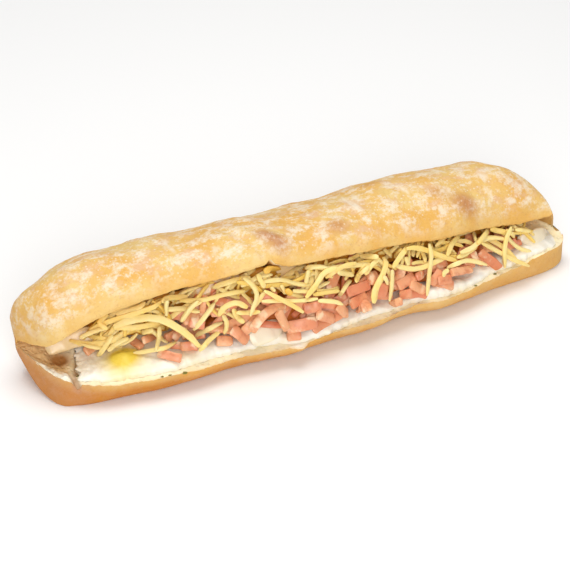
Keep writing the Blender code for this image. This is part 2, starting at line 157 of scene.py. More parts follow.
# The roll
rollShape = {
    "length": 275, "width": 72, "hingeHeight": 21, "hingeWall": 0.17, "crotchHeight": 17.5, "backFoot": 0.62,
    "leftTipLift": 17, "rightTipLift": 2, "lidTipInset": 6, "crumbFrom": 0.972,
    "crownHeight": 25, "crustRelief": 1, "crumbRelief": 0.5,
    "crackAt": -0.198, "crackWidth": 0.016, "crackDepth": 3,
    "gashAt": -0.872, "gashWidth": 0.013, "gashDepth": 4, "cornerAt": -0.13, "cornerReach": 3.4,
    "stations": 320, "around": 300,
    "lipHeight": ((-1, 20), (-0.92, 15), (-0.8, 12.5), (-0.6, 11.5), (0.5, 12), (0.85, 13), (1, 13)),
    "lidEdgeHeight": ((-1, 23), (-0.93, 29.5), (-0.85, 36.5), (-0.78, 41), (-0.63, 46), (-0.34, 50), (-0.2, 52.5),
                      (-0.14, 49), (0.1, 46), (0.39, 39.5), (0.54, 36.5), (0.69, 32.5), (0.83, 29.5), (0.92, 29),
                      (0.965, 28.5), (1, 17)),
    "lidSetback": ((-1, 1), (-0.9, 6), (-0.78, 11), (-0.55, 13.5), (-0.35, 10.4), (0.3, 10), (0.5, 12.3),
                   (0.7, 10.2), (0.9, 6.3), (1, 1)),
    "lipReach": ((-1, 1.1), (-0.94, 1.3), (-0.87, 1.09), (-0.78, 0.98), (-0.62, 0.94), (-0.36, 0.87), (-0.1, 0.9), (0.3, 0.9), (0.48, 1.01),
                 (0.7, 0.93), (1, 1)),
    "crownShare": ((-1, 1.3), (-0.85, 1.24), (-0.65, 0.98), (-0.4, 0.84), (-0.1, 0.8), (0.3, 0.94),
                   (0.65, 1.12), (0.85, 1.02), (1, 0.1)),
    "frontFoot": ((-1, 1.1), (-0.94, 1.28), (-0.87, 0.98), (-0.75, 0.68), (-0.55, 0.54), (-0.3, 0.36), (0, 0.28),
                  (0.3, 0.28), (0.5, 0.45), (0.65, 0.62), (0.85, 0.8), (1, 1)),
    "middle": ((-1, 11), (-0.9, 2.5), (-0.75, -1), (0, 0), (0.5, 3), (0.85, 1), (1, -4)),
}

# Browned blisters of the crust: x, y, reach along and across, height, and how brown
crustBlisters = [
    (-20, -15, 7, 6, 0.9, 1), (-26, -9, 6, 5, 0.4, 0.7), (11, -12, 8, 5, 0.7, 0.9), (80, -8, 9, 5, 0.7, 1),
    (66, -2, 7, 5, 0.4, 0.7), (104, 0, 8, 7, 0.5, 0.4), (-118, 0, 7, 6, 0.3, 0.5), (-62, -6, 8, 4, 0.4, 0.35),
    (40, 14, 10, 6, 0.6, 0.6), (-75, 18, 10, 6, 0.6, 0.5), (5, 26, 12, 6, 0.5, 0.5), (95, 22, 9, 6, 0.5, 0.6),
]


class Section:
    def __init__(self, t):
        shape = rollShape
        t = min(0.9985, max(-0.9985, t))
        self.t = t
        self.x = t * shape["length"] / 2
        taper = (1 - abs(t) ** 3.2) ** 0.55 if t < 0 else (1 - t ** 2.3) ** 0.5
        self.half = shape["width"] / 2 * taper
        self.middle = along(shape["middle"], t)
        tip = max(0, (abs(t) - 0.87) / 0.13)
        self.base = shape["leftTipLift"] * tip ** 5 if t < 0 else shape["rightTipLift"] * tip ** 1.6
        self.lip = (self.middle - self.half * along(shape["lipReach"], t), along(shape["lipHeight"], t))
        self.back = (self.middle + self.half, shape["hingeHeight"])
        self.crotch = (self.middle + self.half * (1 - 2 * shape["hingeWall"]), shape["crotchHeight"])
        setback = min(along(shape["lidSetback"], t), 0.6 * self.half)
        self.lidEdge = (self.lip[0] + setback, along(shape["lidEdgeHeight"], t))
        self.crown = shape["crownHeight"] * along(shape["crownShare"], t) * taper ** 0.4

    # Height of the lower cut face at depth y
    def lower(self, y):
        share = (y - self.lip[0]) / (self.crotch[0] - self.lip[0])
        dish = 1.2 * math.sin(math.pi * min(1, max(0, share)))
        flat = self.lip[1] + (self.crotch[1] - self.lip[1]) * share
        return flat - dish + relief((self.x, y, 0), rollShape["crumbRelief"])

    # Height of the lid's cut face at depth y
    def upper(self, y):
        share = (y - self.lidEdge[0]) / (self.crotch[0] - self.lidEdge[0])
        arch = 1.5 * math.sin(math.pi * min(1, max(0, share)))
        flat = self.lidEdge[1] + (self.crotch[1] - self.lidEdge[1]) * share
        return flat + arch + relief((self.x, y, 80), rollShape["crumbRelief"])

    def lowerCrust(self, share):
        front = self.middle - along(rollShape["frontFoot"], self.t) * self.half
        back = self.middle + rollShape["backFoot"] * self.half
        if share < 0.36:
            turn = math.pi / 2 * share / 0.36
            return (self.lip[0] + (front - self.lip[0]) * (1 - math.cos(turn)),
                    self.lip[1] - (self.lip[1] - self.base) * math.sin(turn))
        if share > 0.64:
            turn = math.pi / 2 * (1 - share) / 0.36
            return (self.back[0] - (self.back[0] - back) * (1 - math.cos(turn)),
                    self.back[1] - (self.back[1] - self.base) * math.sin(turn))
        return (front + (back - front) * (share - 0.36) / 0.28, self.base)

    def lidCrust(self, share):
        swing = (1 - math.cos(math.pi * share)) / 2
        dy, dz = (self.lidEdge[i] - self.back[i] for i in (0, 1))
        span = math.hypot(dy, dz)
        bulge = self.crown * (1 - abs(2 * swing - 1) ** 2.3) ** 0.52
        return (self.back[0] + dy * swing + bulge * dz / span, self.back[1] + dz * swing - bulge * dy / span)


sections = {}


def sectionAt(t):
    key = round(t, 5)
    if key not in sections:
        sections[key] = Section(t)
    return sections[key]


def crusty(section, y, z, lid):
    fade = smooth((z - section.base - 1) / 6)
    x = section.x
    bump = relief((x, y, z), rollShape["crustRelief"])
    bump += 0.35 * noise.noise(Vector((x, y, z)) / 9) + 0.2 * noise.noise(Vector((x, y, z)) / 3.5)
    brown = 0
    if lid:
        for spotX, spotY, reachX, reachY, height, tone in crustBlisters:
            if abs(x - spotX) < 3 * reachX:
                near = spot(x, y, spotX, spotY, reachX, reachY)
                ripple = 0.5 - 1.6 * abs(noise.noise(Vector((x + 0.5 * y, y, z)) / 3))
                bump += near * height * (1 + 0.9 * ripple)
                brown += near * tone
        # fold that runs back from the crack
        foldX = rollShape["crackAt"] * rollShape["length"] / 2 - 0.55 * (y + 22)
        bump -= 1.1 * math.exp(-((x - foldX) / 2.2) ** 2) * smooth((18 - abs(y + 12)) / 12)
    away = (Vector((y, z)) - Vector((section.middle, rollShape["hingeHeight"]))).normalized()
    crack = notch(section.t, rollShape["crackAt"], 2 * rollShape["crackWidth"])
    groove = 1.2 * crack * smooth((z - rollShape["hingeHeight"]) / 10) * smooth(-y / 20 + 0.5)
    return y + (bump * fade - groove) * away.x, z + (bump * fade - groove) * away.y, brown


# Marks kept on the roll: v, how floury, how brown (with painted shade in the gash, hole and tear), how near the cut's
# edge, painted shade on the crust's underside and on the crumb under the lid, at the back and at the left end, and
# where the crumb is torn up white
rollMarks = ("around", "dusting", "browningAndShade", "rim", "paintedShade", "torn")


def rollPoint(u, v):
    shape = rollShape
    t = math.sin(math.pi * (u - 0.5)) * 0.35 + (2 * u - 1) * 0.65
    s = sectionAt(t)
    t, x = s.t, s.x
    inset = smooth((v - 0.25) / 0.16) * smooth((0.94 - v) / 0.1)
    x -= shape["lidTipInset"] * inset * smooth((t - 0.9) / 0.1)
    ragged = 0.006 * noise.noise(Vector((60 * v, 4, 9)))
    wobble = 0.55 * noise.noise(Vector((x, 31, 5)) / 1.7) + (0.7 if t < -0.78 else 0) * noise.noise(Vector((x, 2, 5)) / 4)
    gash = shape["gashDepth"] * notch(t + ragged, shape["gashAt"], shape["gashWidth"]) ** 0.8
    dusting, browningAndShade, rim, paintedShade, torn = 0.0, 0.0, 0.0, 0.0, 0.0
    corner = shape["cornerReach"] * notch(t, shape["cornerAt"], 0.035) ** 0.7
    if v < 0.36:
        y, z, browningAndShade = crusty(s, *s.lowerCrust(v / 0.36), False)
        z += wobble * smooth(1 - v / 0.014) - gash * smooth(1 - v / 0.05)
        # the crust browns towards the left end; the gash at the lip gets painted shade
        browningAndShade += 0.65 * smooth((-0.76 - t) / 0.1) + 0.8 * min(1, gash) * smooth(1 - v / 0.04)
        y -= corner * smooth(1 - v / 0.03)
        dusting = 0.35 * smooth((v - 0.3) / 0.06) + 0.1 * smooth(1 - v / 0.12)
        rim = smooth(1 - v / 0.012)
        # painted shade: the lower crust darkens where it faces down, most at the left end and less towards the lip
        paintedShade = (1 - 0.7 * smooth((t + 0.8) / 1.7)) * (0.35 + 0.65 * smooth(v / 0.04)) * smooth((0.36 - v) / 0.04)
    elif v < 0.87:
        if v < 0.7395:
            share = (v - 0.36) / 0.38
            y, z, browningAndShade = crusty(s, *s.lidCrust(share), True)
            dusting = smooth((1 - share) / 0.16) * (0.5 + 0.5 * smooth(share / 0.3))
            dusting *= (0.75 + 0.25 * smooth((1 - abs(t)) / 0.15)) * (1 - 0.4 * min(1, browningAndShade))
            rim = smooth(1 - (1 - share) / 0.02)
            torn = smooth((t - shape["crumbFrom"]) / 0.012) * smooth((share - 0.72) / 0.1)
        else:
            share = (v - 0.74) / 0.13
            y = s.lidEdge[0] + (s.crotch[0] - s.lidEdge[0]) * share + 0.6 * (1 - share)
            z = s.upper(y) + 0.5 * noise.noise(Vector((x, y, 40)) / 2.5) * smooth(share / 0.1)
            rim = smooth(1 - share / 0.05)
            # painted shade on the lid's cut face, which lies in shade over the filling
            paintedShade = smooth(share / 0.08)
        z += shape["crackDepth"] * notch(t, shape["crackAt"], shape["crackWidth"]) * smooth(1 - abs(v - 0.74) / 0.05)
        z += 0.55 * noise.noise(Vector((x, 3, 5)) / 1.8) * smooth(1 - abs(v - 0.74) / 0.01)
    else:
        share = (v - 0.87) / 0.13
        y = s.crotch[0] + (s.lip[0] - s.crotch[0]) * share
        z = s.lower(y) - 0.4 * share
        z += 0.45 * noise.noise(Vector((x, y, 9)) / 2.2) * smooth((1 - share) / 0.03)
        z += wobble * smooth(1 - (1 - share) / 0.07) - gash * smooth(1 - (1 - v) / 0.03)
        y -= corner * smooth(1 - (1 - v) / 0.02)
        shadedHole = spot(x, y, -121.5, -1, 4.6, 4)
        tear = spot(x - 0.5 * (y + 16), y, -119.5, -10, 1.7, 8)
        torn = min(1, 1.4 * spot(x, y - s.lip[0], -126, 4.5, 6, 4))
        crinkle = noise.noise(Vector((x, y, 21)) / 1.7)
        z += torn * (1.3 + 0.9 * crinkle) - 2.4 * shadedHole - 1.6 * tear
        z += 0.5 * smooth((-0.86 - t) / 0.03) * crinkle
        # painted shade in the hole, the tear and the gash where they sink into the crumb
        browningAndShade = min(1, 1.5 * shadedHole) + 0.85 * tear + 0.7 * min(1, gash) * smooth(1 - (1 - v) / 0.03)
        # painted shade on the crumb at the left end and towards the back under the lid
        shadedInside = smooth((-0.86 - t) / 0.03) * smooth((y - s.lip[0] - 3) / 5)
        paintedShade = max(0.45 * smooth((y + 4) / 16), 0.62 * shadedInside)
        torn = min(1, torn + notch(t, shape["cornerAt"], 0.035) * smooth((share - 0.75) / 0.15))
        rim = smooth(1 - (1 - share) / 0.05)
    return Vector((x, y, z)), (v, dusting, min(1, browningAndShade), rim, paintedShade, torn)


def makeRoll(crust, crumb):
    bm = rolledUp(rollShape["stations"], rollShape["around"], rollPoint, rollMarks)
    layer, tornLayer = bm.verts.layers.float["around"], bm.verts.layers.float["torn"]
    for face in bm.faces:
        places = [vertex[layer] for vertex in face.verts]
        wraps = max(places) - min(places) > 0.5
        middle = sum(places) / len(places)
        face.material_index = 1 if wraps and len(places) < 6 or 0.7399 < middle else 0
        if len(places) > 6:
            face.material_index = 0
        elif min(vertex[tornLayer] for vertex in face.verts) > 0.3:
            face.material_index = 1
    tree = treeOf(bm)
    piece = finishPiece("rollBread", bm, ["roll"], [crust, crumb], 55)
    return piece, tree


# The layers of the filling, from the cream up
fillingShape = {
    "gap": 0.5, "spreadThickness": 2.8, "spreadRelief": 0.7, "spreadEnds": (-0.866, 0.95),
    "cheeseEnds": (-0.83, 0.82), "hamEnds": (-0.46, 0.81), "closed": 10.5, "coreSetback": 4,
    "setback": ((-1, 12), (-0.8, 17), (-0.5, 18), (-0.28, 9), (0.5, 8), (0.85, 9), (1, 9)),
    "hamDepth": ((-0.5, 4), (-0.2, 9), (0.3, 12), (0.8, 9), (1, 6)),
    "bareRim": ((-1, 3), (-0.7, 3.5), (-0.35, 5.5), (-0.2, 4), (-0.14, 1), (-0.03, 1.5), (0.08, 3.4), (0.3, 4),
                 (0.45, 3), (0.7, 2.5), (1, 2)),
}


def spreadFront(s):
    bare = along(fillingShape["bareRim"], s.t)
    return s.lip[0] + bare + relief((s.x, 300, 0), 0.9, 16) + 0.9 * noise.noise(Vector((s.x, 0, 0)) / 3)


def spreadLow(s, y):
    return s.lower(y) + fillingShape["gap"] * smooth((y - spreadFront(s) - 0.5) / 3) - 0.25


def spreadHigh(s, y):
    wave = relief((s.x, y, 200), fillingShape["spreadRelief"], 14)
    return spreadLow(s, y) + max(1.4, fillingShape["spreadThickness"] + wave)


def fillingBack(s):
    y = s.crotch[0]
    while s.upper(y) - s.lower(y) < fillingShape["closed"] and y > s.lidEdge[0]:
        y -= 0.5
    return y


def hamFront(s):
    setback = min(along(fillingShape["setback"], s.t), 0.45 * (s.crotch[0] - s.lip[0]))
    return s.lip[0] + setback + relief((s.x, 100, 0), 1.5)


def hamLow(s, y):
    return spreadHigh(s, y) + 2 * fillingShape["gap"]


def hamHigh(s, y):
    room = s.upper(y) - hamLow(s, y)
    depth = along(fillingShape["hamDepth"], s.t) + relief((s.x, y, 400), 1.5)
    return hamLow(s, y) + min(depth, 0.42 * room)


def cheeseFront(s):
    return max(s.lidEdge[0] + 5, hamFront(s) + 3.5) + relief((s.x, 500, 0), 1.5)


def cheeseLow(s, y):
    low = hamLow(s, y)
    ham = smooth((s.t - fillingShape["hamEnds"][0] + 0.06) / 0.05)
    return low + (hamHigh(s, y) + 3 * fillingShape["gap"] - low) * ham


def cheeseHigh(s, y):
    return s.upper(y) - 1.1 - abs(relief((s.x, y, 600), 0.8))


def layerPoint(u, v, ends, front, back, low, high, setback=0, lumps=0):
    s = sectionAt(ends[0] + (ends[1] - ends[0]) * u)
    y0, y1 = front(s) + setback, back(s)
    y1 = max(y1, y0 + 2)
    share = 2 * v if v < 0.5 else 2 - 2 * v
    y = y0 + (y1 - y0) * (1 - math.cos(math.pi * share)) / 2
    under = low(s, y)
    if v > 0.5:
        return Vector((s.x, y, under))
    rounding = math.sqrt(1 - (1 - min(1, 4.5 * share)) ** 2) * math.sqrt(1 - (1 - min(1, 6 * (1 - share))) ** 2)
    ending = 0.25 + 0.75 * smooth(12 * u) * smooth(12 * (1 - u))
    lump = lumps * noise.noise(Vector((s.x, y, 33)) / 3.2)
    return Vector((s.x, y, under + max(0.3, high(s, y) - under + lump) * rounding * ending))


# Lumps and smears of the cream: x, y, reach along and across, height
creamLumps = [
    (-86, -19, 12, 5, 1.6), (-101, -17, 8, 5, 1.2), (-62, -24, 14, 5, 0.7), (-25, -30, 10, 5, 0.9),
    (-6, -31, 8, 4, 1), (20, -31, 8, 3, 0.8), (46, -31, 6, 3, 2.2), (60, -28, 9, 4, 2.6), (74, -27, 7, 4, 1.4),
    (92, -22, 6, 4, 1), (111, -14, 4, 4, 2.4), (120, -7, 6, 5, 2.4), (-114, -12, 5, 5, 1.3), (-112, -18, 6, 4, 1.2),
    (27, -27, 3, 2, 1.4), (-95, -14, 6, 4, 3.6), (53, -27, 3, 2, 1.6), (66, -24, 7, 3, 1.2), (-31, -26, 8, 4, 0.8), (126, -6, 4, 4, 1.4),
]

# The yellow sauce on the cream: x, y, reach along and across, strength
sauceSpots = [(-95, -13, 8, 5, 1.2), (-96, -17, 7, 5, 0.8), (-100, -22, 8, 5, 0.4), (-72, -22, 9, 4, 0.2),
              (124, -3, 5, 4, 0.45)]


def creamPoint(u, v):
    point = layerPoint(u, v, fillingShape["spreadEnds"], spreadFront, fillingBack, spreadLow, spreadHigh)
    if v <= 0.5:
        x, y = point.x, point.y
        swell = sum(height * spot(x, y, lumpX, lumpY, reachX, reachY)
                    for lumpX, lumpY, reachX, reachY, height in creamLumps)
        edge = smooth(14 * v)
        point.z += edge * (0.7 * swell + 0.4 * noise.noise(Vector((x, y, 5)) / 4.5))
        point.z += edge * 0.3 * noise.noise(Vector((x, y, 11)) / 1.8)
    leftEnd = smooth(1 - u / 0.12)
    point.x += leftEnd * (0.3 * (point.y + 20) + 2.6 * noise.noise(Vector((0, point.y, 3)) / 3.5)
                          + 1.2 * noise.noise(Vector((0, point.y, 8)) / 1.3))
    if v <= 0.5:
        point.z += smooth(1 - u / 0.05) * 0.6 * noise.noise(Vector((point.x, point.y, 17)) / 2.1)
    sauce = sum(strength * spot(point.x, point.y, spotX, spotY, reachX, reachY)
                for spotX, spotY, reachX, reachY, strength in sauceSpots)
    return point, (min(1, sauce),)


def makeCream(cream):
    bm = rolledUp(420, 84, creamPoint, ("sauce",))
    tree = treeOf(bm)
    return finishPiece("creamLayer", bm, ["cream"], [cream], 60), tree


# The open front laid out flat: x along the roll, q down the slope from the lid (0) to the spread (1)
outward = Vector((0, -0.8, 0.6))
heap = {"x0": -132, "x1": 132, "cell": 0.5, "q0": -0.3, "q1": 2.2, "qStep": 0.02, "reach": 30}


def frontEnds(x):
    s = sectionAt(round(2 * x / rollShape["length"], 3))
    topY, footY = cheeseFront(s) + 1, hamFront(s) - 1
    return Vector((x, topY, s.upper(topY) - 3)), Vector((x, footY, spreadHigh(s, footY) + 1))


frontTable = [frontEnds(heap["x0"] + i) for i in range(heap["x1"] - heap["x0"] + 1)]


def frontPoint(x, q):
    place = min(len(frontTable) - 1.001, max(0, x - heap["x0"]))
    i, share = int(place), place - int(place)
    top = frontTable[i][0].lerp(frontTable[i + 1][0], share)
    foot = frontTable[i][1].lerp(frontTable[i + 1][1], share)
    point = top.lerp(foot, q) if 0 <= q <= 1 else top + (foot - top) * q
    point.x = x
    return point


def slopeLength(x):
    return max(6, (frontPoint(x, 1) - frontPoint(x, 0)).length)


columns = int((heap["x1"] - heap["x0"]) / heap["cell"])
rows = int((heap["q1"] - heap["q0"]) / heap["qStep"])
heights = np.full((columns, rows), -50.0)


def cellOf(x, q):
    i = int((x - heap["x0"]) / heap["cell"])
    j = int((q - heap["q0"]) / heap["qStep"])
    return max(0, min(columns - 1, i)), max(0, min(rows - 1, j))


def measureHeap(trees, rollTree):
    for i in range(columns):
        x = heap["x0"] + (i + 0.5) * heap["cell"]
        for j in range(rows):
            q = heap["q0"] + (j + 0.5) * heap["qStep"]
            start = frontPoint(x, q) + heap["reach"] * outward
            for tree in [*trees, rollTree] if q > 0.8 else trees:
                reached = tree.ray_cast(start, -outward, 2 * heap["reach"])[3]
                if reached is not None:
                    heights[i, j] = max(heights[i, j], heap["reach"] - reached)


def supportAt(x, q, radius):
    across = radius / slopeLength(x)
    i0, j0 = cellOf(x - radius, q - across)
    i1, j1 = cellOf(x + radius, q + across)
    return float(heights[i0:i1 + 1, j0:j1 + 1].max())


def pressInto(route, lifts, width, depth):
    for (xa, qa, ha), (xb, qb, hb) in zip(
            [(*r, h) for r, h in zip(route, lifts)], [(*r, h) for r, h in zip(route[1:], lifts[1:])]):
        for step in range(5):
            share = step / 4
            x, q, h = xa + (xb - xa) * share, qa + (qb - qa) * share, ha + (hb - ha) * share
            across = 0.42 * width / slopeLength(x)
            i0, j0 = cellOf(x - 0.42 * width, q - across)
            i1, j1 = cellOf(x + 0.42 * width, q + across)
            patch = heights[i0:i1 + 1, j0:j1 + 1]
            np.maximum(patch, h + 0.42 * depth, out=patch)


# Heights of a piece's middle line over the front, resting on what is already there
def layRoute(route, width, depth, stiffness):
    lifts = []
    for x, q in route:
        support = supportAt(x, q, 0.35 * width)
        lifts.append(support + 0.5 * depth if support > -40 else None)
    known = [lift for lift in lifts if lift is not None]
    if len(known) < 0.5 * len(lifts):
        return None
    for i in range(len(lifts)):  # where nothing carries it, it hangs on from its neighbour
        if lifts[i] is None:
            lifts[i] = lifts[i - 1] - 0.7 if i else known[0]
    for _ in range(stiffness):
        for i in range(1, len(lifts) - 1):
            lifts[i] = max(lifts[i], (lifts[i - 1] + lifts[i + 1]) / 2 - 0.06)
        lifts[0] = max(lifts[0], 2 * lifts[1] - lifts[2] - 0.8)
        lifts[-1] = max(lifts[-1], 2 * lifts[-2] - lifts[-3] - 0.8)
    return lifts


def arcRoute(x, q, length, heading, bend, points):
    route, step = [], length / (points - 1)
    for i in range(points):
        route.append((x, q))
        angle = heading + bend * (i / (points - 1) - 0.5)
        x += math.cos(angle) * step
        q -= math.sin(angle) * step / slopeLength(x)
    return route


# Points evenly along a smooth curve through a few given ones
def curveThrough(given, points):
    given = [Vector(p) for p in given]
    if len(given) == 2:
        return [given[0].lerp(given[1], i / (points - 1)) for i in range(points)]
    padded = [2 * given[0] - given[1], *given, 2 * given[-1] - given[-2]]
    dense = []
    for a, b, c, d in zip(padded, padded[1:], padded[2:], padded[3:]):
        for step in range(12):
            s = step / 12
            dense.append(0.5 * (2 * b + (c - a) * s + (2 * a - 5 * b + 4 * c - d) * s ** 2
                                + (3 * b - a - 3 * c + d) * s ** 3))
    dense.append(given[-1])
    reach = [0]
    for a, b in zip(dense, dense[1:]):
        reach.append(reach[-1] + (b - a).length)
    even, k = [], 0
    for i in range(points):
        want = reach[-1] * i / (points - 1)
        while k < len(reach) - 2 and reach[k + 1] < want:
            k += 1
        span = max(1e-6, reach[k + 1] - reach[k])
        even.append(dense[k].lerp(dense[k + 1], (want - reach[k]) / span))
    return even


# The place on the open front, lifted by h, that shows at a pixel of the photo
def fromPhoto(px, py, h, start=None):
    x, q = start or ((px - 290) / 2, 0.5)
    for _ in range(8):
        here = toPhoto(frontPoint(x, q) + h * outward)
        alongX = toPhoto(frontPoint(x + 1, q) + h * outward)
        alongQ = toPhoto(frontPoint(x, q + 0.05) + h * outward)
        a, b = alongX[0] - here[0], (alongQ[0] - here[0]) / 0.05
        c, d = alongX[1] - here[1], (alongQ[1] - here[1]) / 0.05
        scale = a * d - b * c
        dx, dy = px - here[0], py - here[1]
        x += max(-30, min(30, (d * dx - b * dy) / scale))
        q += max(-0.6, min(0.6, (a * dy - c * dx) / scale))
        x, q = max(-130, min(130, x)), max(-0.28, min(2.1, q))
    return x, q


# Angles of a bar's eight edges: two at each corner
def cornerTurn(k, bevel):
    return math.pi / 4 * (1 + 2 * (k // 2)) + bevel * (1 if k % 2 else -1)


# A bar with bevelled sides along a path, cut straight at its ends
def addBar(bm, path, width, depth, look, tone, toneLayer):
    squareness = look["squareness"]
    ends = 0.14 * width
    first, last = (path[1] - path[0]).normalized() * ends, (path[-1] - path[-2]).normalized() * ends
    path = [path[0], path[0] + first, *path[1:-1], path[-1] - last, path[-1]]
    total = len(path) - 1
    reached = [0]
    for a, b in zip(path, path[1:]):
        reached.append(reached[-1] + (b - a).length)
    slim = look["slimReach"] * reached[-1]
    made = bmesh.ops.create_grid(bm, x_segments=total, y_segments=8, size=1)["verts"]
    for vertex in made:
        i = round((vertex.co.x + 1) / 2 * total)
        turn = cornerTurn(round((vertex.co.y + 1) / 2 * 8) % 8, look["bevel"])
        heading = (path[min(total, i + 1)] - path[max(0, i - 1)]).normalized()
        side = heading.cross(outward).normalized()
        up = side.cross(heading)
        twist = look["twist"] * (2 * tone - 1) * (0.3 + reached[i] / reached[-1])
        side, up = side * math.cos(twist) + up * math.sin(twist), up * math.cos(twist) - side * math.sin(twist)
        cosine, sine = math.cos(turn), math.sin(turn)
        square = (abs(cosine) ** squareness + abs(sine) ** squareness) ** (-1 / squareness)
        near = min(reached[i], reached[-1] - reached[i])
        slimming = look["slimTo"] + (1 - look["slimTo"]) * min(1, near / slim) ** 0.7
        reach = 0.5 * square * slimming * (0.85 if i in (0, total) else 1)
        vertex.co = path[i] + reach * (side * cosine * width + up * sine * depth)
        vertex.co += look["unevenness"] * width * noise.noise_vector(vertex.co / (0.8 * width))
        vertex[toneLayer] = tone
    bmesh.ops.remove_doubles(bm, verts=made, dist=0.001)
    verts = [vertex for vertex in made if vertex.is_valid]
    edges = {edge for vertex in verts for edge in vertex.link_edges if edge.is_boundary}
    filled = bmesh.ops.holes_fill(bm, edges=list(edges))["faces"]
    faces = {face for vertex in verts for face in vertex.link_faces} | set(filled)
    bmesh.ops.recalc_face_normals(bm, faces=list(faces))


def bumpsLid(path, depth):
    for place in path:
        s = sectionAt(round(2 * place.x / rollShape["length"], 3))
        if place.y > s.lidEdge[0] - 0.3 and place.z + 0.4 * depth > s.upper(place.y) - 0.4:
            return True
    return False


def layPiece(bm, route, look, toneLayer, tone, mustLie=False):
    width, depth = look["width"], look["depth"]
    for down in (0, 0.06, 0.12, 0.2):
        moved = [(x, q + down) for x, q in route]
        lifts = layRoute(moved, width, depth, look["stiffness"])
        if lifts is None:
            return False
        path = [frontPoint(x, q) + lift * outward for (x, q), lift in zip(moved, lifts)]
        if max(lifts) > look["highest"] and not mustLie:
            return False
        if not bumpsLid(path, depth) or (mustLie and down > 0.15):
            addBar(bm, path, width, depth, look, tone, toneLayer)
            pressInto(moved, lifts, width, depth)
            return True
    return False


def layTrace(bm, trace, look, toneLayer, tone):
    width, pixels = trace[0] * look["wider"], trace[1]
    given = curveThrough([Vector((*p, 0)) for p in pixels], look["points"])
    route, lifts = None, [2.0] * len(given)
    for _ in range(3):
        route = []
        for p, lift in zip(given, lifts):
            route.append(fromPhoto(p.x, p.y, lift, route[-1] if route else None))
        found = layRoute(route, width, look["depth"], look["stiffness"])
        if found is None:
            break
        lifts = [0.5 * (a + b) for a, b in zip(lifts, found)]
    layPiece(bm, route, {**look, "width": width}, toneLayer, tone, True)


# Ham: traced strips show in the photo, as widths in mm and pixels along each; the rest fills in behind them
hamLook = {
    "width": 4.2, "depth": 1.9, "wider": 1.02, "bevel": 0.2, "squareness": 8, "stiffness": 6, "highest": 3.5,
    "points": 8, "slimReach": 0.03, "slimTo": 0.82, "twist": 0.45, "unevenness": 0.075,
}
hamCount = 150
hamTraces = [
    (4.2, ((153, 315), (190, 315))), (5, ((182, 321), (199, 317))), (4.6, ((188, 322), (204, 325))),
    (4.2, ((86, 352), (101, 342))), (3.6, ((131, 338), (142, 347))), (3.4, ((142, 341), (158, 335))),
    (4, ((157, 353), (180, 359))), (3.4, ((170, 345), (197, 347))), (4, ((180, 347), (195, 345))),
    (4, ((214, 300), (236, 306))), (4, ((320, 304), (335, 305))), (4.4, ((260, 300), (276, 296))),
    (4.5, ((216, 341), (232, 341))), (5, ((231, 329), (247, 341))), (4.4, ((243, 332), (258, 318))),
    (4, ((250, 332), (258, 320), (270, 310), (284, 305))), (4, ((287, 337), (301, 336))),
    (5.4, ((286, 328), (317, 322))), (4.2, ((277, 312), (287, 330))), (4.6, ((303, 309), (320, 306))),
    (4.6, ((316, 315), (334, 319))), (4.8, ((336, 306), (347, 314))), (4.8, ((346, 293), (369, 284))),
    (4.8, ((350, 305), (366, 296))), (4.6, ((360, 310), (368, 302))), (5, ((379, 297), (384, 284))),
    (4.4, ((360, 309), (369, 306))), (4.2, ((368, 272), (373, 284))), (4.8, ((397, 287), (414, 276))),
    (4.6, ((409, 284), (424, 291))), (3.6, ((399, 295), (410, 293))), (3.6, ((393, 304), (401, 301))),
    (4, ((431, 284), (440, 271))), (4, ((437, 281), (451, 279))), (3.6, ((450, 273), (471, 269))),
    (4.4, ((479, 252), (499, 268)), -0.12), (3.6, ((415, 278), (423, 273))), (3.4, ((472, 252), (476, 261))),
]


def makeHam(ham):
    draw = random.Random(5)
    ends = fillingShape["hamEnds"]
    # the core under the strips carries tone -0.6, which the material paints dark as the shade between the strips
    bm = rolledUp(150, 48, lambda u, v: (layerPoint(
        u, v, ends, hamFront, fillingBack, hamLow, hamHigh, fillingShape["coreSetback"], 1.6), (-0.6,)), ("tone",))
    toneLayer = bm.verts.layers.float["tone"]
    laid = 0
    for i in range(3 * hamCount):
        t = ends[0] - 0.03 + (ends[1] - ends[0] + 0.02) * (i * 0.618 % 1)
        length = draw.uniform(6, 20)
        heading = draw.choice((0.1, 0.6, -0.5, 1.2, 2.6, -2.9)) + draw.uniform(-0.35, 0.35)
        x = t * rollShape["length"] / 2 - math.cos(heading) * length / 2
        look = {**hamLook, "width": draw.uniform(2.4, 4.8), "depth": draw.uniform(1.3, 2.3)}
        route = arcRoute(x, draw.uniform(0.45, 0.95), length, heading, draw.uniform(-0.4, 0.4), look["points"])
        if layPiece(bm, route, look, toneLayer, draw.uniform(0.1, 1)):
            laid += 1
        if laid == hamCount:
            break
    for trace in hamTraces:
        tone = draw.uniform(0.2, 1)
        layTrace(bm, trace, hamLook, toneLayer, trace[2] if len(trace) > 2 else tone)
    print("ham strips laid:", laid)
    return finishPiece("hamStrips", bm, ["ham", "ham_2", "ham_3", "ham_4"], [ham], 40)


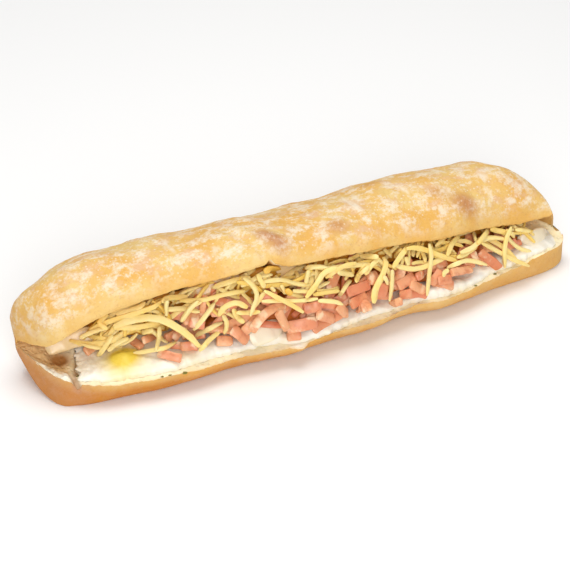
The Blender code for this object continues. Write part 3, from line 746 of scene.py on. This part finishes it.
# Grated cheese, in the same way
cheeseLook = {
    "width": 2.4, "depth": 1.3, "wider": 1.02, "bevel": 0.2, "squareness": 8, "stiffness": 4, "highest": 5,
    "points": 9, "slimReach": 0.14, "slimTo": 0.5, "twist": 0.8, "unevenness": 0.085,
}
cheeseCount = 340
cheeseTraces = [
    (2.4, ((296, 259), (320, 258), (341, 256), (376, 254))), (2.4, ((116, 315), (138, 308), (145, 302))),
    (2.4, ((90, 330), (107, 322), (130, 315), (153, 307), (162, 301))), (2.2, ((165, 310), (182, 309), (199, 312))),
    (2.2, ((80, 338), (95, 331), (107, 328))), (2.6, ((113, 328), (138, 327), (162, 322))),
    (2.2, ((106, 313), (98, 321), (107, 327))), (2, ((142, 333), (153, 330))),
    (2.2, ((161, 302), (168, 298), (188, 297))), (2, ((165, 301), (166, 316))),
    (2.2, ((180, 301), (204, 300), (222, 295), (245, 291))), (2.2, ((180, 322), (192, 306), (201, 302))),
    (1.9, ((197, 301), (188, 310), (180, 322))), (2, ((193, 330), (204, 317), (214, 303))),
    (2.2, ((195, 336), (208, 329), (222, 322))), (2.4, ((180, 329), (190, 339), (200, 348))),
    (2.1, ((198, 351), (207, 341), (219, 332))), (2, ((222, 315), (226, 323), (225, 334))),
    (2.2, ((232, 309), (236, 316), (243, 323))), (2, ((235, 313), (247, 313), (259, 312))),
    (2.2, ((218, 316), (223, 308), (235, 303), (246, 308))), (2.1, ((263, 282), (281, 280), (295, 284), (310, 285))),
    (2.1, ((264, 292), (256, 303), (250, 309))), (2.2, ((240, 271), (250, 278), (254, 289), (250, 301), (249, 309))),
    (2.3, ((257, 274), (260, 281), (264, 288))), (1.8, ((270, 287), (274, 292))), (1.9, ((280, 285), (285, 294))),
    (2, ((292, 291), (310, 292))), (2, ((306, 268), (320, 267), (332, 270))), (2, ((308, 270), (305, 284))),
    (2.1, ((325, 278), (341, 267), (355, 263))), (2, ((336, 273), (353, 275))),
    (2, ((312, 295), (329, 292), (339, 291))), (2.2, ((317, 301), (334, 302), (342, 305))),
    (2.1, ((259, 302), (278, 301), (299, 301), (317, 299))), (2.3, ((305, 298), (315, 285), (323, 273), (336, 268))),
    (2.2, ((263, 291), (278, 299), (292, 306), (303, 313))), (2, ((339, 296), (346, 285), (350, 280))),
    (2.1, ((355, 282), (361, 271), (364, 264))), (2.1, ((364, 275), (372, 264), (379, 259))),
    (2.3, ((371, 303), (375, 289), (380, 278))), (2.1, ((360, 256), (377, 257))), (2, ((360, 274), (368, 266))),
    (2.1, ((384, 249), (392, 257))), (2, ((395, 256), (400, 246))), (2.6, ((405, 257), (408, 266))),
    (2.2, ((392, 265), (408, 269), (421, 268), (435, 262), (447, 257))),
    (2.1, ((408, 245), (399, 257), (392, 268))), (2.3, ((383, 257), (385, 264), (380, 277), (372, 292), (371, 304))),
    (2.1, ((391, 270), (391, 284), (390, 301))), (2, ((381, 277), (387, 284))),
    (2.3, ((405, 249), (414, 248), (424, 250), (440, 256), (456, 261))),
    (2, ((454, 236), (464, 233), (474, 230))), (2.1, ((446, 256), (451, 244), (459, 236))),
    (1.9, ((474, 232), (475, 242))), (2, ((456, 258), (466, 253), (476, 246))),
    (2, ((447, 268), (464, 261), (476, 262), (486, 265))), (2, ((446, 270), (442, 277))),
    (2.1, ((459, 253), (471, 248), (480, 241), (494, 238), (507, 240))), (2.1, ((489, 228), (482, 237), (476, 244))),
    (2.3, ((489, 229), (507, 233))), (2, ((514, 230), (530, 231))), (2, ((505, 230), (514, 237))),
    (2.1, ((480, 244), (494, 250), (507, 257), (518, 262), (529, 266))),
    (2.2, ((509, 226), (505, 237), (503, 252), (505, 266))),
    (1.9, ((428, 244), (430, 257), (428, 277), (426, 296))),
    (2.2, ((98, 356), (106, 345), (112, 335))), (2.1, ((107, 351), (116, 344), (128, 338))),
    (2.1, ((133, 353), (144, 352), (153, 350), (164, 348), (176, 342))), (2, ((159, 327), (158, 339), (154, 350))),
    (3, ((262, 268), (270, 265), (279, 266)), -0.2), (2.6, ((285, 290), (291, 295)), -0.15),
    (3, ((113, 327), (132, 320), (153, 318), (168, 323), (181, 331), (190, 339), (197, 347))),
]


def makeCheese(cheese):
    draw = random.Random(3)
    ends = fillingShape["cheeseEnds"]
    # the core under the shreds carries tone -0.8, which the material paints dark as the shade between the shreds
    bm = rolledUp(170, 48, lambda u, v: (layerPoint(
        u, v, ends, cheeseFront, fillingBack, cheeseLow, cheeseHigh, fillingShape["coreSetback"], 1.2), (-0.8,)),
        ("tone",))
    toneLayer = bm.verts.layers.float["tone"]
    laid = 0
    for i in range(4 * cheeseCount):
        t = ends[0] + 0.06 + (ends[1] - ends[0] - 0.03) * (i * 0.618 % 1)
        length = draw.choice((draw.uniform(8, 14), draw.uniform(13, 24), draw.uniform(20, 36)))
        heading = draw.choice((0.6, 0.9, 1.2, -0.4, -0.9, 0.1, 1.5, 2.2)) + draw.uniform(-0.25, 0.25)
        x = t * rollShape["length"] / 2 - math.cos(heading) * length / 2
        top = 0.45 if t > -0.35 else 0.75
        stout = 0.75 + 0.25 * smooth((length - 8) / 12)
        look = {**cheeseLook, "width": stout * draw.uniform(1.5, 2.5), "depth": stout * draw.uniform(1, 1.4)}
        bend = length / 16 * draw.uniform(-1, 1)
        route = arcRoute(x, draw.uniform(0.02, top), length, heading, bend, look["points"])
        if layPiece(bm, route, look, toneLayer, draw.uniform(0, 1)):
            laid += 1
        if laid == cheeseCount:
            break
    for trace in cheeseTraces:
        tone, look = draw.uniform(0.3, 1), {**cheeseLook, "wider": cheeseLook["wider"] * draw.uniform(0.85, 1.12)}
        layTrace(bm, trace, look, toneLayer, trace[2] if len(trace) > 2 else tone)
    print("shreds laid:", laid, "of", i + 1)
    return finishPiece("cheeseShreds", bm, ["cheese"], [cheese], 52)


# Onion slices: node, width and thickness, and the pixels along each in the photo
onionLook = {
    "thickness": 1.1, "points": 11, "stiffness": 5, "bevel": 0.35, "squareness": 3, "slimReach": 0.1,
    "slimTo": 0.8, "twist": 0, "unevenness": 0.04,
}
onionSlices = [  # the last number says how milky it is
    (1, 8.5, ((46, 351), (60, 344), (78, 338), (98, 331)), 0.35), (2, 9, ((180, 297), (205, 288), (240, 277)), 0.15),
    (3, 9.5, ((250, 341), (265, 333), (282, 324)), 1), (4, 10, ((276, 268), (292, 275), (312, 285), (326, 288)), 0.3),
    (5, 7, ((518, 240), (534, 237), (550, 230)), 0.9),
]


def makeOnion(index, width, pixels, tone, onion):
    bm = bmesh.new()
    toneLayer = bm.verts.layers.float.new("tone")
    given = curveThrough([Vector((*p, 0)) for p in pixels], onionLook["points"])
    lifts, route = [1.0] * len(given), None
    for _ in range(2):
        route = []
        for p, lift in zip(given, lifts):
            route.append(fromPhoto(p.x, p.y, lift, route[-1] if route else None))
        lifts = layRoute(route, 0.6 * width, onionLook["thickness"], onionLook["stiffness"]) or lifts
    path = [frontPoint(x, q) + lift * outward for (x, q), lift in zip(route, lifts)]
    addBar(bm, path, width, onionLook["thickness"], onionLook, tone, toneLayer)
    middle = sum(path, Vector()) / len(path)
    length = (path[-1] - path[0]).length
    for vertex in bm.verts:  # narrower towards both ends
        share = min(1, 2 * (vertex.co - middle).dot((path[-1] - path[0]).normalized()) / length)
        nearest = min(path, key=lambda place: (place - vertex.co).length)
        narrowing = 1 - 0.6 * abs(share) ** 3
        vertex.co = nearest + (vertex.co - nearest) * narrowing
    bmesh.ops.subdivide_edges(bm, edges=bm.edges, cuts=1, use_grid_fill=True, smooth=0.5)
    for vertex in bm.verts:
        vertex.co += 0.55 * noise.noise_vector(vertex.co / 4)
    pressInto(route, lifts, 0.7 * width, onionLook["thickness"])
    return finishPiece(f"onionSlice{index}", bm, [f"onion_{index}"], [onion], 70)


# Green flecks of herb: where each lies and its reach, in mm
herbFlecks = [(-72.8, -30.6, 1.3), (-79.5, -29.4, 0.9), (-83, -29, 0.7), (25.4, -32.4, 0.8), (90.9, -21.3, 0.9),
              (78, -25.6, 0.8), (-117.6, -14.5, 0.7)]


def makeFlecks(herb, trees):
    bm = bmesh.new()
    for x, y, reach in herbFlecks:
        tops = [tree.ray_cast(Vector((x, y, 90)), Vector((0, 0, -1)))[0] for tree in trees]
        top = max((point.z for point in tops if point), default=None)
        if top is None:
            continue
        made = bmesh.ops.create_icosphere(bm, subdivisions=2, radius=1)["verts"]
        for vertex in made:
            uneven = 1 + 0.5 * noise.noise(vertex.co + Vector((x, y, 0)))
            flat = Vector((vertex.co.x * reach, 0.7 * vertex.co.y * reach, 0.35 * vertex.co.z * reach))
            vertex.co = Vector((x, y, top + 0.1)) + flat * uneven
    return finishPiece("herbFlecks", bm, [], [herb], 80)


# Materials
def newMaterial(name, roughness):
    material = bpy.data.materials.new(name)
    material.use_nodes = True
    tree = material.node_tree
    shader = tree.nodes["Principled BSDF"]
    shader.inputs["Roughness"].default_value = roughness
    coords = tree.nodes.new("ShaderNodeTexCoord")
    return material, tree, shader, coords.outputs["Object"]


def noiseOf(tree, coords, scale, detail=3, roughness=0.55, stretch=None, turn=0):
    if stretch:
        mapping = tree.nodes.new("ShaderNodeMapping")
        mapping.inputs["Scale"].default_value = stretch
        mapping.inputs["Rotation"].default_value = (0, 0, turn)
        tree.links.new(coords, mapping.inputs["Vector"])
        coords = mapping.outputs["Vector"]
    made = tree.nodes.new("ShaderNodeTexNoise")
    made.inputs["Scale"].default_value = scale
    made.inputs["Detail"].default_value = detail
    made.inputs["Roughness"].default_value = roughness
    tree.links.new(coords, made.inputs["Vector"])
    return made.outputs["Fac"]


def cellsOf(tree, coords, scale, feature="F1"):
    made = tree.nodes.new("ShaderNodeTexVoronoi")
    made.feature = feature
    made.inputs["Scale"].default_value = scale
    tree.links.new(coords, made.inputs["Vector"])
    return made.outputs["Distance"]


def mark(tree, name):
    made = tree.nodes.new("ShaderNodeAttribute")
    made.attribute_name = name
    return made.outputs["Fac"]


def between(tree, value, low, high, toLow=0, toHigh=1):
    made = tree.nodes.new("ShaderNodeMapRange")
    for socket, number in (("From Min", low), ("From Max", high), ("To Min", toLow), ("To Max", toHigh)):
        made.inputs[socket].default_value = number
    tree.links.new(value, made.inputs["Value"])
    return made.outputs["Result"]


def sums(tree, kind, a, b):
    made = tree.nodes.new("ShaderNodeMath")
    made.operation = kind
    for socket, value in zip(made.inputs, (a, b)):
        if isinstance(value, (int, float)):
            socket.default_value = value
        else:
            tree.links.new(value, socket)
    return made.outputs[0]


def blendColours(tree, share, a, b):
    made = tree.nodes.new("ShaderNodeMix")
    made.data_type = "RGBA"
    made.clamp_factor = True
    tree.links.new(share, made.inputs[0])
    for socket, value in zip(made.inputs[6:8], (a, b)):
        if isinstance(value, tuple):
            socket.default_value = (*value, 1)
        else:
            tree.links.new(value, socket)
    return made.outputs[2]


def addBump(tree, shader, height, strength, distance):
    made = tree.nodes.new("ShaderNodeBump")
    made.inputs["Strength"].default_value = strength
    made.inputs["Distance"].default_value = distance
    tree.links.new(height, made.inputs["Height"])
    tree.links.new(made.outputs["Normal"], shader.inputs["Normal"])


def crustMaterial():
    look = {
        "gold": (0.79, 0.44, 0.105), "pale": (0.82, 0.57, 0.21), "brown": (0.56, 0.25, 0.1),
        "flour": (0.9, 0.78, 0.6), "underside": (0.54, 0.18, 0.01), "pink": (0.79, 0.49, 0.29),
    }
    material, tree, shader, coords = newMaterial("crustFloured", 0.7)
    dusting, browningAndShade = mark(tree, "dusting"), mark(tree, "browningAndShade")
    broad = noiseOf(tree, coords, 48, 3)
    mottle = noiseOf(tree, coords, 175, 6, 0.66, (0.75, 1, 1))
    grain = noiseOf(tree, coords, 620, 3, 0.7)
    streak = noiseOf(tree, coords, 110, 3, 0.5, (1, 0.35, 1), 0.6)
    colour = blendColours(tree, between(tree, broad, 0.42, 0.68), look["gold"], look["pale"])
    # painted shade: the lower crust is darkened towards the underside colour where it faces down, most at the left
    # end
    low = sums(tree, "MULTIPLY", mark(tree, "paintedShade"), between(tree, broad, 0.3, 0.7, 0.75, 1))
    colour = blendColours(tree, low, colour, look["underside"])
    # browner patches of the crust, with painted shade in the gash at the lip
    patch = between(tree, sums(tree, "ADD", browningAndShade, sums(tree, "MULTIPLY", mottle, 0.6)), 0.6, 1.3)
    colour = blendColours(tree, patch, colour, look["brown"])
    blush = sums(tree, "MULTIPLY", between(tree, noiseOf(tree, coords, 150, 4, 0.6, (0.7, 1, 1), 0.3), 0.52, 0.64), dusting)
    colour = blendColours(tree, sums(tree, "MULTIPLY", blush, 0.7), colour, look["pink"])
    clouds = sums(tree, "ADD", mottle, sums(tree, "MULTIPLY", sums(tree, "SUBTRACT", grain, 0.5), 0.4))
    cover = sums(tree, "MULTIPLY", between(tree, clouds, 0.47, 0.63), dusting)
    wisps = sums(tree, "MULTIPLY", between(tree, streak, 0.6, 0.7), dusting)
    specks = sums(tree, "MULTIPLY", between(tree, cellsOf(tree, coords, 420), 0.26, 0.14), dusting)
    floury = sums(tree, "MAXIMUM", sums(tree, "MAXIMUM", cover, wisps), sums(tree, "MULTIPLY", specks, 0.7))
    colour = blendColours(tree, sums(tree, "MULTIPLY", floury, 0.85), colour, look["flour"])
    freckles = between(tree, noiseOf(tree, coords, 900, 2, 0.5), 0.56, 0.72, 0, 0.3)
    colour = blendColours(tree, freckles, colour, look["brown"])
    tree.links.new(colour, shader.inputs["Base Color"])
    tree.links.new(between(tree, floury, 0, 1, 0.6, 0.95), shader.inputs["Roughness"])
    relieved = sums(tree, "ADD", sums(tree, "MULTIPLY", mottle, 1.0), sums(tree, "MULTIPLY", grain, 0.25))
    addBump(tree, shader, relieved, 0.75, 0.001)
    shader.inputs["Specular IOR Level"].default_value = 0.25
    return material


def crumbMaterial():
    look = {"crumb": (0.98, 0.88, 0.62), "shade": (0.95, 0.78, 0.47), "edge": (0.88, 0.62, 0.28),
            "shadedHole": (0.4, 0.17, 0.04), "shadedInside": (0.78, 0.45, 0.13), "torn": (0.98, 0.93, 0.79)}
    material, tree, shader, coords = newMaterial("crumbOpen", 0.85)
    pores = cellsOf(tree, coords, 430)
    wide = cellsOf(tree, coords, 190)
    tint = noiseOf(tree, coords, 90, 4)
    colour = blendColours(tree, between(tree, tint, 0.35, 0.7), look["crumb"], look["shade"])
    colour = blendColours(tree, between(tree, pores, 0.28, 0.05, 0, 0.6), colour, look["shade"])
    colour = blendColours(tree, between(tree, mark(tree, "rim"), 0.6, 1, 0, 0.35), colour, look["edge"])
    colour = blendColours(tree, mark(tree, "torn"), colour, look["torn"])
    # painted shade: crumb under the lid, towards the back and at the left end is darkened towards the inside colour,
    # and the hole, tear and gash darker still
    colour = blendColours(tree, mark(tree, "paintedShade"), colour, look["shadedInside"])
    colour = blendColours(tree, mark(tree, "browningAndShade"), colour, look["shadedHole"])
    tree.links.new(colour, shader.inputs["Base Color"])
    hollow = sums(tree, "ADD", between(tree, pores, 0, 0.4), between(tree, wide, 0, 0.4))
    addBump(tree, shader, hollow, 0.5, 0.0009)
    shader.inputs["Subsurface Weight"].default_value = 0.06
    shader.inputs["Subsurface Radius"].default_value = (0.004, 0.003, 0.0015)
    shader.inputs["Subsurface Scale"].default_value = 1
    return material


def creamMaterial():
    look = {"white": (0.99, 0.95, 0.84), "warm": (0.98, 0.88, 0.66), "sauce": (0.95, 0.72, 0.09)}
    material, tree, shader, coords = newMaterial("creamSpread", 0.42)
    tint = noiseOf(tree, coords, 70, 3)
    fine = noiseOf(tree, coords, 320, 4, 0.6)
    colour = blendColours(tree, between(tree, tint, 0.42, 0.72), look["white"], look["warm"])
    tree.links.new(blendColours(tree, mark(tree, "sauce"), colour, look["sauce"]), shader.inputs["Base Color"])
    addBump(tree, shader, sums(tree, "ADD", tint, sums(tree, "MULTIPLY", fine, 0.4)), 0.5, 0.0012)
    shader.inputs["Subsurface Weight"].default_value = 0.05
    shader.inputs["Subsurface Radius"].default_value = (0.004, 0.003, 0.002)
    shader.inputs["Subsurface Scale"].default_value = 1
    return material


def hamMaterial():
    look = {"rose": (0.76, 0.26, 0.13), "pale": (0.9, 0.46, 0.23), "deep": (0.54, 0.13, 0.05), "fat": (0.95, 0.72, 0.47),
            "coreShade": (0.6, 0.16, 0.02)}
    material, tree, shader, coords = newMaterial("hamDiced", 0.36)
    tone = mark(tree, "tone")
    fibre = noiseOf(tree, coords, 260, 4, 0.6)
    broad = noiseOf(tree, coords, 110, 2)
    colour = blendColours(tree, between(tree, tone, 0.25, 1), look["rose"], look["pale"])
    colour = blendColours(tree, between(tree, broad, 0.5, 0.75, 0, 0.7), colour, look["pale"])
    colour = blendColours(tree, between(tree, fibre, 0.5, 0.3, 0, 0.6), colour, look["deep"])
    seams = noiseOf(tree, coords, 170, 3, 0.5, (1, 0.4, 1), 0.5)
    colour = blendColours(tree, between(tree, seams, 0.58, 0.68, 0, 0.8), colour, look["fat"])
    # painted shade: pieces with tone below zero, the hidden core between the strips most of all, are darkened towards
    # this colour
    colour = blendColours(tree, between(tree, tone, 0, -0.5), colour, look["coreShade"])
    tree.links.new(colour, shader.inputs["Base Color"])
    addBump(tree, shader, fibre, 0.35, 0.0006)
    shader.inputs["Subsurface Weight"].default_value = 0.12
    shader.inputs["Subsurface Radius"].default_value = (0.003, 0.0012, 0.0008)
    shader.inputs["Subsurface Scale"].default_value = 1
    return material


def cheeseMaterial():
    look = {"butter": (0.91, 0.6, 0.12), "pale": (0.96, 0.78, 0.35), "coreShade": (0.8, 0.36, 0.03)}
    material, tree, shader, coords = newMaterial("cheeseGrated", 0.45)
    tint = noiseOf(tree, coords, 160, 3)
    colour = blendColours(tree, sums(tree, "ADD", mark(tree, "tone"), sums(tree, "SUBTRACT", tint, 0.5)),
                          look["butter"], look["pale"])
    # painted shade on the hidden core between the shreds; the few traced shreds with tone a little below zero take a
    # share of the same darker colour
    colour = blendColours(tree, between(tree, mark(tree, "tone"), 0, -0.5), colour, look["coreShade"])
    tree.links.new(colour, shader.inputs["Base Color"])
    addBump(tree, shader, noiseOf(tree, coords, 700, 3), 0.2, 0.0004)
    shader.inputs["Subsurface Weight"].default_value = 0.15
    shader.inputs["Subsurface Radius"].default_value = (0.003, 0.002, 0.0008)
    shader.inputs["Subsurface Scale"].default_value = 1
    return material


def onionMaterial():
    look = {"clear": (0.85, 0.58, 0.22), "vein": (0.76, 0.45, 0.13), "milky": (0.98, 0.88, 0.66)}
    material, tree, shader, coords = newMaterial("onionRaw", 0.25)
    veins = noiseOf(tree, coords, 220, 2, 0.5, (0.3, 1.4, 1.4), 0.2)
    colour = blendColours(tree, between(tree, veins, 0.45, 0.65), look["clear"], look["vein"])
    tree.links.new(blendColours(tree, mark(tree, "tone"), colour, look["milky"]), shader.inputs["Base Color"])
    addBump(tree, shader, veins, 0.2, 0.0005)
    shader.inputs["Subsurface Weight"].default_value = 0.08
    shader.inputs["Subsurface Radius"].default_value = (0.004, 0.003, 0.0015)
    shader.inputs["Subsurface Scale"].default_value = 1
    return material


def herbMaterial():
    material, tree, shader, coords = newMaterial("herbGreen", 0.6)
    shader.inputs["Base Color"].default_value = (0.2, 0.17, 0.02, 1)
    return material


# The plain floor and the light
def makeStage():
    light = {"world": 0.395, "key": 6.5, "keyPlace": (0, 0.1, 1.1), "keySize": 0.8,
             "fill": 6, "fillPlace": (-0.33, -0.92, 0.6), "fillSize": 0.6}
    bm = bmesh.new()
    bmesh.ops.create_grid(bm, x_segments=1, y_segments=1, size=4)
    mesh = bpy.data.meshes.new("floor")
    bm.to_mesh(mesh)
    bm.free()
    floor = bpy.data.objects.new("floor", mesh)
    bpy.context.scene.collection.objects.link(floor)
    material, tree, shader, coords = newMaterial("floorWhite", 0.9)
    shader.inputs["Base Color"].default_value = (0.98, 0.975, 0.965, 1)
    shader.inputs["Specular IOR Level"].default_value = 0.1
    mesh.materials.append(material)
    world = bpy.data.worlds.new("softWhite")
    world.use_nodes = True
    world.node_tree.nodes["Background"].inputs["Color"].default_value = (1, 1, 1, 1)
    world.node_tree.nodes["Background"].inputs["Strength"].default_value = light["world"]
    bpy.context.scene.world = world
    for name in ("key", "fill"):
        lamp = bpy.data.lights.new(name, "AREA")
        lamp.shape = "DISK"
        lamp.size = light[name + "Size"]
        lamp.energy = light[name]
        holder = bpy.data.objects.new(name, lamp)
        bpy.context.scene.collection.objects.link(holder)
        holder.location = light[name + "Place"]
        aim = Vector((0, 0, 0.03)) - holder.location
        holder.rotation_euler = aim.to_track_quat("-Z", "Y").to_euler()


makeCamera()
makeStage()
bpy.context.scene.view_settings.view_transform = "Standard"
print("camera and stage are up")

rollPiece, rollTree = makeRoll(crustMaterial(), crumbMaterial())
creamPiece, creamTree = makeCream(creamMaterial())
print("roll and cream are made")


def coreTree(ends, front, low, high):
    bm = rolledUp(150, 32, lambda u, v: (layerPoint(
        u, v, ends, front, fillingBack, low, high, fillingShape["coreSetback"], 1.4), ()))
    tree = treeOf(bm)
    bm.free()
    return tree


cores = [coreTree(fillingShape["hamEnds"], hamFront, hamLow, hamHigh),
         coreTree(fillingShape["cheeseEnds"], cheeseFront, cheeseLow, cheeseHigh)]
measureHeap([creamTree, *cores], rollTree)
print("heap measured")
onion = onionMaterial()
for index, width, pixels, tone in onionSlices:
    makeOnion(index, width, pixels, tone, onion)
makeHam(hamMaterial())
makeCheese(cheeseMaterial())
makeFlecks(herbMaterial(), [rollTree, creamTree])
